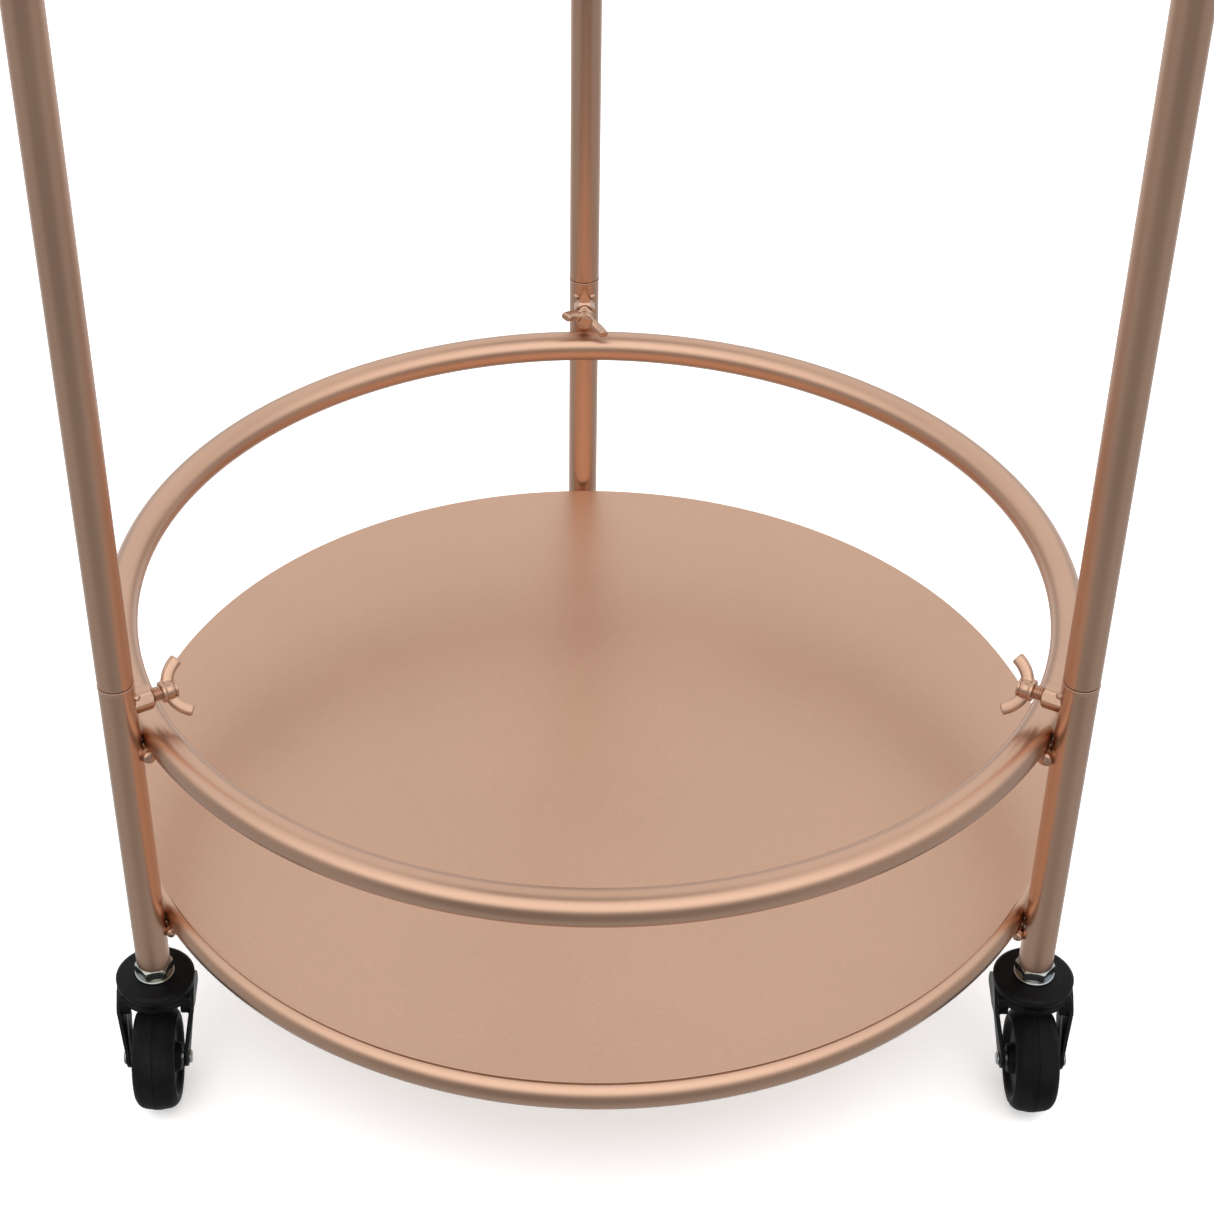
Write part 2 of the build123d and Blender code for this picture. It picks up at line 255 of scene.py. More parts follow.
def spokes(axis, sides):
    """Even angles, and the unit vectors at them square to an axis, from the level one to the upper one."""
    upper = UP if abs(axis[2]) < 0.9 else np.array([0.0, 1.0, 0.0])
    level = np.cross(upper, axis)
    angle = np.arange(sides) * 2 * math.pi / sides
    return angle, np.cos(angle)[:, None] * level + np.sin(angle)[:, None] * upper


def turned(profile, origin, axis=UP, sides=96, wrap=False):
    """Profile (radius, height) carried round an axis: point = origin + height * axis + radius * spoke.
    Points on the axis are left to the poles."""
    _, spoke = spokes(axis, sides)
    profile = profile[profile[:, 0] > 1e-9]
    radius, height = profile[:, 0, None, None], profile[:, 1, None, None]
    return skin(origin + height * axis + radius * spoke, wrap)


def tube(origin, low, high, outer, inner, lip, flare=0.0):
    """Tube with rounded ends, its upper mouth rolled out by the flare."""
    mouth = 2.4 * MM
    corners = [(inner, low, lip / 2), (outer, low, lip)]
    if flare:
        corners += [(outer, high - mouth, 2 * lip), (outer + flare, high - mouth / 3, 2 * lip)]
    corners += [(outer + flare, high, lip), (inner, high, lip / 2)]
    return turned(outline(*corners, closed=True), origin, sides=80, wrap=True)


def bent_ring(height, sizes):
    """Tube bent to a circle: point = ring radius * out + t * (cos b * out + sin b * up), where t is the
    tube's radius less a bell-shaped dip beside each post, deepest at b = 90 degrees."""
    steps, sides = 540, 44
    around = np.linspace(0, 2 * math.pi, steps, endpoint=False)[:, None]
    across = np.linspace(0, 2 * math.pi, sides, endpoint=False)[None, :]
    dip_width = 14 * MM
    radius = np.full((steps, sides), TUBE_RADIUS)
    for side in SIDES:
        post = math.atan2(POST_FOOT[side][1], POST_FOOT[side][0])
        arc = ((around - post + math.pi) % (2 * math.pi) - math.pi) * RING_RADIUS
        radius -= sizes.heat_pull * np.exp(-((arc / dip_width) ** 2)) * (0.5 + 0.5 * np.sin(across))
    out = RING_RADIUS + radius * np.cos(across)
    points = [out * np.cos(around), out * np.sin(around), height + radius * np.sin(across)]
    return skin(np.stack(points, -1), wrap=True)


def shelf_sheet(sizes):
    """Round sheet with a rounded rim. Both faces share a low wave, wave * (cos(3 a + 0.7) * s +
    cos(2 a - 1.1)) * s * (1 - s * s), where s is the distance from the middle as a share of the radius, so
    that it dies out over the ring that carries it."""
    low, high = heights("shelf")
    rim = 0.5 * MM
    edge = outline((0, low, 0), (SHELF_RADIUS, low, rim), (SHELF_RADIUS, high, rim), (0, high, 0), steps=7)
    rings = np.linspace(0.02, 0.99, 40) * SHELF_RADIUS
    under = np.stack([rings, np.full_like(rings, low)], -1)
    over = np.stack([rings[::-1], np.full_like(rings, high)], -1)
    curve = edge[edge[:, 0] > rings[-1]]
    profile = np.vstack([under, curve, over])
    angle, spoke = spokes(UP, 256)
    radius = profile[:, 0, None]
    reach = radius / SHELF_RADIUS
    ripple = np.cos(3 * angle + 0.7) * reach + np.cos(2 * angle - 1.1)
    height = profile[:, 1, None] + sizes.shelf_wave * ripple * reach * (1 - reach**2)
    return skin(radius[..., None] * spoke + height[..., None] * UP)


def weld_bead(centre, radii, out, seed):
    """Ellipsoid with its radii along up x out, along out and along up. They rise and fall together by a few
    percent, 1 + 0.05 cos(7 latitude + seed) + 0.04 sin(3 longitude + seed) sin(latitude)."""
    pole_gap = 0.08
    latitude = np.linspace(pole_gap, math.pi - pole_gap, 22)[:, None]
    longitude = np.linspace(0, 2 * math.pi, 32, endpoint=False)[None, :]
    swell = 1 + 0.05 * np.cos(7 * latitude + seed) + 0.04 * np.sin(3 * longitude + seed) * np.sin(latitude)
    along = np.cross(UP, out)
    offset = (
        np.cos(latitude)[..., None] * radii[0] * along
        + (np.sin(latitude) * np.cos(longitude))[..., None] * radii[1] * out
        + (np.sin(latitude) * np.sin(longitude))[..., None] * radii[2] * UP
    )
    return skin(centre + swell[..., None] * offset)


def hexagon(angle, flats, facing):
    """Distance to a hexagon's side: half the flats / cos(angle from the nearest flat's middle)."""
    sixth = math.pi / 3
    return flats / 2 / np.cos((angle - facing + sixth / 2) % sixth - sixth / 2)


def hex_nut(origin, axis, flats, low, high, bore, facing=math.pi / 2, post=None):
    """Hexagon cut by a cone at each free face: radius = the least of the hexagon and the cones, each face
    radius + depth * tan of the cone's angle. With a post's radius given, the nut has rounder corners and a
    steeper cone, and its low end has no cone and follows the post, sunk a little into it."""
    face_share, cone_angle, corner_share = (0.96, 60, 1) if post is None else (0.84, 48, 0.955)
    sunk, rows = 0.4 * MM, 8
    angle, spoke = spokes(axis, 96)
    face_radius = flats / 2 * face_share
    cone = math.tan(math.radians(cone_angle))
    rounding = flats / math.sqrt(3) * corner_share
    depth = np.linspace(0, (rounding - face_radius) / cone, rows)
    height = np.concatenate([high - depth, low + depth[::-1]])[:, None] * np.ones_like(angle)
    side = np.minimum(hexagon(angle, flats, facing), rounding)
    radius = np.minimum(side, face_radius + (high - height) * cone)
    if post is None:
        radius = np.minimum(radius, face_radius + (height - low) * cone)
    else:
        height, radius = height[: rows + 1], radius[: rows + 1]
        radius[rows] = side
        level = side * np.cos(angle)
        height[rows] = np.sqrt(post**2 - level**2) - sunk
    mouth = 0.35 * MM
    bore_radius = np.array([bore, bore, bore + mouth])[:, None] * np.ones_like(angle)
    bore_height = np.array([low, high - mouth, high])[:, None] * np.ones_like(angle)
    if post is not None:
        bore_height[0] = height[-1]
    radius = np.vstack([radius, bore_radius])[..., None]
    height = np.vstack([height, bore_height])[..., None]
    return skin(origin + height * axis + radius * spoke, wrap=True)


def thread(origin, axis, low, high, sizes):
    """Threaded rod: radius = crest - depth * (0.5 - 0.5 cos(2 pi height / pitch - angle)), chamfered at the
    ends. The coat fills part of the groove."""
    groove, unfilled = 0.62, 0.7
    depth = groove * sizes.thread_pitch * unfilled
    chamfer = 0.8 * MM
    angle, spoke = spokes(axis, 40)
    height = np.arange(low, high, 0.11 * MM)[:, None]
    turn = 2 * math.pi * height / sizes.thread_pitch - angle
    radius = sizes.thread_radius - depth * (0.5 - 0.5 * np.cos(turn))
    end = np.minimum(height - low, high - height)
    radius = np.minimum(radius, sizes.thread_radius - chamfer + end)
    return skin(origin + height[..., None] * axis + radius[..., None] * spoke)


def bar(path, half_widths, half_heights, level, steps=28, sides=40):
    """Stub with a squarish section swept along a bent path: the path is the quadratic curve of its three
    control points, and the section is the superellipse |x / w| ** 3 + |y / h| ** 3 = 1. The last rows close
    in as a quarter round, so that the end is flat with a soft edge."""
    done = np.linspace(0, 1, steps)[:, None]
    left = 1 - done
    start, bend, end = (np.array(point, float) for point in path)
    centre = left**2 * start + 2 * done * left * bend + done**2 * end
    heading = 2 * left * (bend - start) + 2 * done * (end - bend)
    heading /= np.linalg.norm(heading, axis=1, keepdims=True)
    width = half_widths[0] + (half_widths[1] - half_widths[0]) * done
    height = half_heights[0] + (half_heights[1] - half_heights[0]) * done
    edge = 0.9
    round_off = np.linspace(0, math.pi / 2, 7)[1:, None]
    centre = np.vstack([centre, end + heading[-1] * edge * np.sin(round_off)])
    heading = np.vstack([heading, np.repeat(heading[-1:], len(round_off), 0)])
    width = np.vstack([width, width[-1] - edge * (1 - np.cos(round_off))])
    height = np.vstack([height, height[-1] - edge * (1 - np.cos(round_off))])
    angle = np.linspace(0, 2 * math.pi, sides, endpoint=False)
    flatten = (np.abs(np.cos(angle)) ** 3 + np.abs(np.sin(angle)) ** 3) ** (-1 / 3)
    across = np.cross(heading, level)
    return skin(
        centre[:, None]
        + (width * np.cos(angle) * flatten)[..., None] * across[:, None]
        + (height * np.sin(angle) * flatten)[..., None] * level
    )


def melted(shape, voxel, passes):
    """Overlapping closed shapes joined into one skin by a voxel remesh, with its inner corners smoothed."""
    points, quads, triangles = shape
    mesh = bpy.data.meshes.new("melt")
    mesh.from_pydata(points.tolist(), [], quads.tolist() + triangles.tolist())
    holder = bpy.data.objects.new("melt", mesh)
    bpy.context.scene.collection.objects.link(holder)
    remesh = holder.modifiers.new("remesh", "REMESH")
    remesh.mode = "VOXEL"
    remesh.voxel_size = voxel
    smooth = holder.modifiers.new("smooth", "SMOOTH")
    smooth.factor = 0.5
    smooth.iterations = passes
    joined = bpy.data.meshes.new_from_object(holder.evaluated_get(bpy.context.evaluated_depsgraph_get()))
    points = np.zeros(len(joined.vertices) * 3)
    corners = np.zeros(len(joined.loops), int)
    joined.vertices.foreach_get("co", points)
    joined.loops.foreach_get("vertex_index", corners)
    bpy.data.objects.remove(holder)
    bpy.data.meshes.remove(mesh)
    bpy.data.meshes.remove(joined)
    return outward(points.reshape(-1, 3), corners.reshape(-1, 4), NO_TRIANGLES)


def piece(name, shape, finish, *nodes, sharp=38):
    """Makes a mesh object of a shape, gives it a finish, and has it stand for CAD nodes on their body."""
    points, quads, triangles = shape
    mesh = bpy.data.meshes.new(name)
    mesh.from_pydata(points.tolist(), [], quads.tolist() + triangles.tolist())
    mesh.shade_smooth()
    mesh.set_sharp_from_angle(angle=math.radians(sharp))
    mesh.materials.append(bpy.data.materials[finish])
    made = bpy.data.objects.new(name, mesh)
    bpy.context.scene.collection.objects.link(made)
    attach(made, BODY_OF[nodes[0]])
    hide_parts(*nodes)


# ------------------------------------------------------------------ finishes


def node(tree, kind, inputs=None, **settings):
    """Adds a shader node. An input is a value, or another node's output to link."""
    made = tree.nodes.new(kind)
    for name, value in settings.items():
        setattr(made, name, value)
    for key, value in (inputs or {}).items():
        if isinstance(value, bpy.types.NodeSocket):
            tree.links.new(value, made.inputs[key])
        else:
            made.inputs[key].default_value = value
    return made


def start_finish(name, **constants):
    """A material with one shader, whose constants are set on its own sockets."""
    material = bpy.data.materials.new(name)
    material.use_nodes = True
    tree = material.node_tree
    shader = tree.nodes["Principled BSDF"]
    for key, value in constants.items():
        shader.inputs[key.replace("_", " ")].default_value = value
    return tree, shader


def arithmetic(tree, operation, *values):
    """Result of one math node."""
    return node(tree, "ShaderNodeMath", dict(enumerate(values)), operation=operation).outputs[0]


def place(tree):
    """Each point's place on its own object."""
    return node(tree, "ShaderNodeTexCoord").outputs["Object"]


def stretched(tree, source, scale):
    """Coordinates times a scale for each axis. A pattern runs along the axis with the least."""
    return node(tree, "ShaderNodeMapping", {"Vector": source, "Scale": scale}).outputs["Vector"]


def along_ring(tree, source, fine):
    """Coordinates whose pattern runs round the rack: (distance from the axis, height) * fine, plus a drift
    times the direction from the axis, so that no seam shows."""
    drift_size = 5.0
    flat = node(tree, "ShaderNodeVectorMath", {0: source, 1: (1, 1, 0)}, operation="MULTIPLY").outputs[0]
    reach = node(tree, "ShaderNodeVectorMath", {0: flat}, operation="LENGTH").outputs["Value"]
    way = node(tree, "ShaderNodeVectorMath", {0: flat}, operation="NORMALIZE").outputs[0]
    drift = node(tree, "ShaderNodeVectorMath", {0: way, "Scale": drift_size}, operation="SCALE").outputs[0]
    height = node(tree, "ShaderNodeSeparateXYZ", {0: source}).outputs["Z"]
    section = node(tree, "ShaderNodeCombineXYZ", {"X": reach, "Y": height}).outputs[0]
    scaled = node(tree, "ShaderNodeVectorMath", {0: section, "Scale": fine}, operation="SCALE").outputs[0]
    return node(tree, "ShaderNodeVectorMath", {0: scaled, 1: drift}, operation="ADD").outputs[0]


def grain(tree, source, scale, detail=3.0, roughness=0.5):
    """Noise between 0 and 1, mostly within 0.2 of the middle."""
    inputs = {"Vector": source, "Scale": scale, "Detail": detail, "Roughness": roughness}
    return node(tree, "ShaderNodeTexNoise", inputs).outputs["Fac"]


def spread(tree, source, low, high, start=0.0, end=1.0, **settings):
    """Carries a value from start..end to low..high, and holds it there beyond them."""
    inputs = {"Value": source, "From Min": start, "From Max": end, "To Min": low, "To Max": high}
    return node(tree, "ShaderNodeMapRange", inputs, **settings).outputs["Result"]


def added(tree, first, second, weight=1.0):
    """first + second * weight."""
    return arithmetic(tree, "MULTIPLY_ADD", second, weight, first)


def tinted(tree, colour_value, amount):
    """The colour times an amount that varies over the surface."""
    inputs = {0: tuple(colour_value), "Scale": amount}
    return node(tree, "ShaderNodeVectorMath", inputs, operation="SCALE").outputs[0]


def relief(tree, source, depth):
    """Shading normal of a surface raised by source * depth."""
    return node(tree, "ShaderNodeBump", {"Height": source, "Distance": depth}).outputs["Normal"]


def finish_rose_gold(name, settings, roughness, pattern, depth, blotch_scale=9.0, contrast=0.09):
    """Metallic coat under lacquer: streaks along the pattern, a fine grain, and slow blotches in colour and
    gloss."""
    tree, shader = start_finish(name, Metallic=1.0, Coat_Weight=0.3, Coat_Roughness=0.24)
    source = place(tree)
    streak = grain(tree, pattern(tree, source), 1.0, 4.0)
    speck = grain(tree, source, 2400.0, 2.0)
    blotch = grain(tree, source, blotch_scale, 3.0, 0.55)
    texture = added(tree, streak, speck, 0.6)
    slow = spread(tree, blotch, 0.96, 1.06, 0.3, 0.7)
    quick = spread(tree, texture, -0.5, 0.5, 0.3, 1.3)
    tint = tinted(tree, settings.rose_gold, added(tree, slow, quick, contrast))
    gloss = spread(tree, blotch, roughness - 0.03, roughness + 0.04, 0.3, 0.7)
    gloss = added(tree, gloss, texture, 0.02)
    tree.links.new(tint, shader.inputs["Base Color"])
    tree.links.new(gloss, shader.inputs["Roughness"])
    tree.links.new(relief(tree, texture, depth), shader.inputs["Normal"])


def finish_weld(name, settings):
    """Weld under the same coat: rounder lumps, with painted shade that darkens the colour in their hollows."""
    tree, shader = start_finish(name, Metallic=1.0)
    source = place(tree)
    lump = grain(tree, source, 420.0, 3.0)
    # painted shade: the colour darkens to 0.8 where the lump relief is low, in the hollows of the bump
    tint = tinted(tree, settings.rose_gold, spread(tree, lump, 0.8, 1.04, 0.3, 0.7))
    tree.links.new(tint, shader.inputs["Base Color"])
    tree.links.new(spread(tree, lump, 0.26, 0.44), shader.inputs["Roughness"])
    tree.links.new(relief(tree, lump, 0.25 * MM), shader.inputs["Normal"])


def finish_zinc(name, settings):
    """Bright zinc: a faint yellow and blue cast in patches, and turned marks."""
    tree, shader = start_finish(name, Metallic=1.0)
    source = place(tree)
    patch = grain(tree, source, 90.0, 2.0)
    marks = grain(tree, stretched(tree, source, (1, 1, 12)), 380.0, 3.0)
    warm = tuple(value * cast for value, cast in zip(settings.zinc, (1.05, 1.0, 0.9)))
    cool = tuple(value * cast for value, cast in zip(settings.zinc, (0.94, 1.0, 1.08)))
    factor, first, second, result = 0, 6, 7, 2
    inputs = {factor: spread(tree, patch, 0, 1, 0.35, 0.65), first: (*cool, 1), second: (*warm, 1)}
    mix = node(tree, "ShaderNodeMix", inputs, data_type="RGBA")
    tree.links.new(mix.outputs[result], shader.inputs["Base Color"])
    tree.links.new(spread(tree, marks, 0.13, 0.3), shader.inputs["Roughness"])
    tree.links.new(relief(tree, marks, 0.02 * MM), shader.inputs["Normal"])


def finish_steel(name):
    """Oiled steel of the sealed inner pieces."""
    tree, shader = start_finish(name, Metallic=1.0)
    source = place(tree)
    film = grain(tree, source, 160.0, 3.0)
    tint = tinted(tree, (0.36, 0.35, 0.34), spread(tree, film, 0.7, 1.1))
    tree.links.new(tint, shader.inputs["Base Color"])
    tree.links.new(spread(tree, film, 0.2, 0.42), shader.inputs["Roughness"])


def finish_moulded(name, base, gloss, shine, texture_scale, depth, dust):
    """Moulded black plastic or rubber: fine moulding texture, uneven gloss, and paler dust in slow
    patches."""
    tree, shader = start_finish(name, IOR=1.46, Specular_IOR_Level=shine)
    source = place(tree)
    fine = grain(tree, source, texture_scale, 3.0)
    slow = grain(tree, source, 55.0, 4.0, 0.6)
    amount = added(tree, spread(tree, slow, 1.0, 1.0 + dust, 0.42, 0.8), fine, 0.3)
    tree.links.new(tinted(tree, base, amount), shader.inputs["Base Color"])
    roughness = added(tree, spread(tree, slow, gloss - 0.06, gloss + 0.08), fine, 0.05)
    tree.links.new(roughness, shader.inputs["Roughness"])
    tree.links.new(relief(tree, fine, depth), shader.inputs["Normal"])


def make_finishes(settings):
    drawn, rolled = settings.tube_roughness, settings.sheet_roughness
    finish_rose_gold(
        "rose_gold_ring", settings, drawn, lambda tree, source: along_ring(tree, source, 1500.0),
        depth=0.008 * MM,
    )
    finish_rose_gold(
        "rose_gold_post", settings, drawn, lambda tree, source: stretched(tree, source, (1500, 1500, 14)),
        depth=0.008 * MM,
    )
    finish_rose_gold(
        "rose_gold_sheet", settings, rolled, lambda tree, source: stretched(tree, source, (260, 1100, 1)),
        depth=0.012 * MM, blotch_scale=6.0, contrast=0.16,
    )
    finish_rose_gold(
        "rose_gold_cast", settings, drawn + 0.02,
        lambda tree, source: stretched(tree, source, (700, 700, 700)), depth=0.05 * MM, blotch_scale=120.0,
    )
    finish_weld("coated_weld", settings)
    finish_zinc("bright_zinc", settings)
    finish_steel("oiled_steel")
    finish_moulded(
        "black_nylon", settings.nylon, gloss=0.34, shine=0.14, texture_scale=900.0, depth=0.02 * MM,
        dust=1.2,
    )
    finish_moulded(
        "tyre_rubber", settings.rubber, gloss=0.5, shine=0.1, texture_scale=1400.0, depth=0.03 * MM,
        dust=1.6,
    )


# ------------------------------------------------------------------ pieces


def build_rings(sizes):
    for ring in RINGS:
        piece(f"{ring}_ring_tube", bent_ring(RING_Z[ring], sizes), "rose_gold_ring", f"{ring}_ring")


def build_posts(sizes):
    inner = TUBE_RADIUS - sizes.tube_wall
    for side in SIDES:
        foot = POST_FOOT[side]
        for name, flare in (("lower_stub", sizes.flare), ("upper_stub", 0.0), ("long_post", 0.0)):
            low, high = heights(f"{side}_{name}")
            shape = tube(foot, low, high, TUBE_RADIUS, inner, sizes.lip, flare)
            piece(f"{side}_{name}_tube", shape, "rose_gold_post", f"{side}_{name}")
    for level in LEVELS:
        low, high = heights(f"{level}_spigots")
        radius = sizes.spigot_radius
        inner = radius - sizes.spigot_wall
        sleeves = [tube(POST_FOOT[side], low, high, radius, inner, sizes.lip) for side in SIDES]
        piece(f"{level}_spigot_sleeves", merged(sleeves), "rose_gold_post", f"{level}_spigots")


def build_post_caps(sizes):
    low, high = heights("post_caps")
    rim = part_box("left_upper_stub")[1].z
    shank = sizes.spigot_radius
    profile = outline(
        (0, low, 0),
        (shank - 0.6 * MM, low, 0.5 * MM),
        (shank, low + 1.5 * MM, 0.5 * MM),
        (shank, rim, 0),
        (TUBE_RADIUS, rim, 0.3 * MM),
        (TUBE_RADIUS, rim + 1.6 * MM, 1.4 * MM),
        (TUBE_RADIUS - 5 * MM, high, 9 * MM),
        (0, high, 0),
    )
    caps = [turned(profile, POST_FOOT[side], sides=72) for side in SIDES]
    piece("post_end_caps", merged(caps), "black_nylon", "post_caps")


def build_shelf(sizes):
    piece("shelf_sheet", shelf_sheet(sizes), "rose_gold_sheet", "shelf")


def build_welds(sizes):
    """Weld beads: in the corner under each ring at the posts with a smaller one in the crevice, on the
    nuts' upper corners, and under the shelf's edge."""
    inset, aside = 0.8 * MM, 5.2 * MM
    crevice_inset, crevice_drop, crevice_radii = 1.2 * MM, 6.6 * MM, np.array([2.4, 2.2, 5.0]) * MM
    drop = {"left": 7.6 * MM, "right": 9.8 * MM, "back": 9.8 * MM}
    bead = {"base": 3.4 * MM, "mid": 4.6 * MM, "hanging": 4.6 * MM}
    for number, ring in enumerate(RINGS):
        beads = []
        for seed, side in enumerate(SIDES):
            out = -INWARD[side]
            beside = np.cross(UP, out)
            forward = 0 if side == "back" else -np.sign(beside[1])
            corner = out * (RING_RADIUS + TUBE_RADIUS - inset) + UP * (RING_Z[ring] - drop[side])
            radii = np.array([1.12, 0.98, 1.0]) * bead[ring]
            beads.append(weld_bead(corner + beside * forward * aside, radii, out, 2.1 * seed + number))
            crevice = out * (RING_RADIUS + TUBE_RADIUS - crevice_inset) + UP * (RING_Z[ring] - crevice_drop)
            beads.append(weld_bead(crevice, crevice_radii, out, seed))
        piece(f"{ring}_ring_beads", merged(beads), "coated_weld", f"{ring}_ring_welds")
    half_flats = sizes.weld_nut_flats / 2
    nut_reach, nut_inset, nut_radii = 8.4 * MM, 1 * MM, np.array([2.0, 2.1, 1.7]) * MM
    for number, level in enumerate(LEVELS):
        blobs = []
        for seed, side in enumerate(SIDES):
            beside = np.cross(UP, INWARD[side])
            for hand in (1, -1):
                centre = (
                    POST_FOOT[side] + UP * (SCREW_Z[level] + half_flats) + INWARD[side] * nut_reach
                    + beside * hand * (half_flats - nut_inset)
                )
                blobs.append(weld_bead(centre, nut_radii, INWARD[side], seed + hand + 3 * number))
        piece(f"{level}_nut_beads", merged(blobs), "coated_weld", f"{level}_nut_welds")
    tack_ring = RING_RADIUS - 6.6 * MM
    tack_z = heights("shelf")[0] - 1.6 * MM
    tack_radii = np.array([4.2, 2.6, 1.7]) * MM
    tacks = []
    for number in range(6):
        angle = number * math.pi / 3
        out = np.array([math.cos(angle), math.sin(angle), 0.0])
        tacks.append(weld_bead(out * tack_ring + UP * tack_z, tack_radii, out, number))
    piece("shelf_tack_beads", merged(tacks), "coated_weld", "shelf_tacks")


def wing_head(sizes):
    """Wing screw's cast head in millimetres, about its own axis: x runs along the wings, z along the screw
    from the post's axis. The hub and two flared wings are melted together; the rim and the riveted square
    end of the screw are set in its face."""
    start, end, radius = (value / MM for value in (sizes.hub_start, sizes.hub_end, sizes.hub_radius))
    origin = np.zeros(3)
    collar = 1.9
    hub = turned(
        outline(
            (0, start, 0),
            (radius - 0.2, start, 0.7),
            (radius - 0.2, start + collar, 0.5),
            (radius - 1.0, start + collar + 0.5, 0.5),
            (radius - 0.6, end - 3.2, 1.2),
            (radius - 1.4, end - 0.4, 1.6),
            (0, end, 0),
            hold=0.5,
        ),
        origin,
    )
    level = np.array([0.0, 1.0, 0.0])
    wings = []
    for hand in (1, -1):
        path = [(0, 0, start + 4.1), (hand * 8.6, 0, start + 4.6), (hand * 13.6, 0, start + 12.9)]
        wings.append(bar(path, (3.2, 3.4), (2.6, 2.3), level))
    body = melted(merged([hub, *wings]), voxel=0.32, passes=9)
    rim = turned(
        outline((4.1, end - 1.2, 0), (5.1, end - 1.2, 0), (5.1, end + 0.2, 0.35), (4.1, end + 0.2, 0.35),
                closed=True, hold=0.5),
        origin, wrap=True,
    )
    angle, spoke = spokes(UP, 64)
    square = (np.abs(np.cos(angle)) ** 5 + np.abs(np.sin(angle)) ** 5) ** (-1 / 5)
    peg = outline((3.5, end - 1.2, 0), (3.55, end + 0.45, 0.5), (0.2, end + 0.5, 0), hold=0.5)
    radius_at = peg[:, 0, None] * square
    end_face = skin(radius_at[..., None] * spoke + peg[:, 1, None, None] * UP)
    return merged([body, rim, end_face])


# Turn of each wing screw's wings from level, in degrees
WING_TILT = {
    "lower": {"left": 53.5, "right": 122, "back": -28},
    "upper": {"left": 20, "right": -35, "back": 70},
}


def build_set_screws(sizes):
    head = wing_head(sizes)
    tip_gap, sunk, thread_gap = 0.35 * MM, 1.5 * MM, 0.05 * MM
    stud_tip = sizes.spigot_radius + tip_gap
    stud_top = sizes.hub_end - sunk
    for level in LEVELS:
        height = UP * SCREW_Z[level]
        nuts = [
            hex_nut(
                POST_FOOT[side] + height, INWARD[side], sizes.weld_nut_flats, TUBE_RADIUS,
                sizes.weld_nut_face, sizes.thread_radius + thread_gap, post=TUBE_RADIUS,
            )
            for side in SIDES
        ]
        piece(f"{level}_hex_weld_nuts", merged(nuts), "rose_gold_cast", f"{level}_weld_nuts", sharp=24)
        for side in SIDES:
            origin = POST_FOOT[side] + height
            stud = thread(origin, INWARD[side], stud_tip, stud_top, sizes)
            piece(f"{side}_{level}_threaded_stud", stud, "rose_gold_cast", f"{side}_{level}_stud", sharp=60)
            tilt = math.radians(WING_TILT[level][side])
            along = np.cross(UP, INWARD[side]) * math.cos(tilt) + UP * math.sin(tilt)
            shape = placed(head, origin, along, np.cross(INWARD[side], along), INWARD[side], MM)
            piece(f"{side}_{level}_wings", shape, "rose_gold_cast", f"{side}_{level}_wing_head")


def build_caster_fasteners(sizes):
    """Nut and washer of each caster's stem. The nuts face the ways that their spanner left them, in
    degrees."""
    nut_low, nut_high = heights("stem_nuts")
    washer_low, washer_high = heights("stem_washers")
    stem_radius = 5.95 * MM
    facing = {"left": -77, "right": -102, "back": -90}
    nuts = [
        hex_nut(
            POST_FOOT[side], UP, sizes.stem_nut_flats, nut_low, nut_high, stem_radius,
            facing=math.radians(facing[side]),
        )
        for side in SIDES
    ]
    piece("stem_hex_nuts", merged(nuts), "bright_zinc", "stem_nuts", sharp=24)
    profile = outline(
        (stem_radius + 0.3 * MM, washer_low, 0.1 * MM),
        (sizes.washer_radius, washer_low, 0.5 * MM),
        (sizes.washer_radius, washer_high, 0.7 * MM),
        (stem_radius + 0.3 * MM, washer_high, 0.3 * MM),
        closed=True,
    )
    washers = [turned(profile, POST_FOOT[side], wrap=True) for side in SIDES]
    piece("stem_flat_washers", merged(washers), "bright_zinc", "stem_washers")


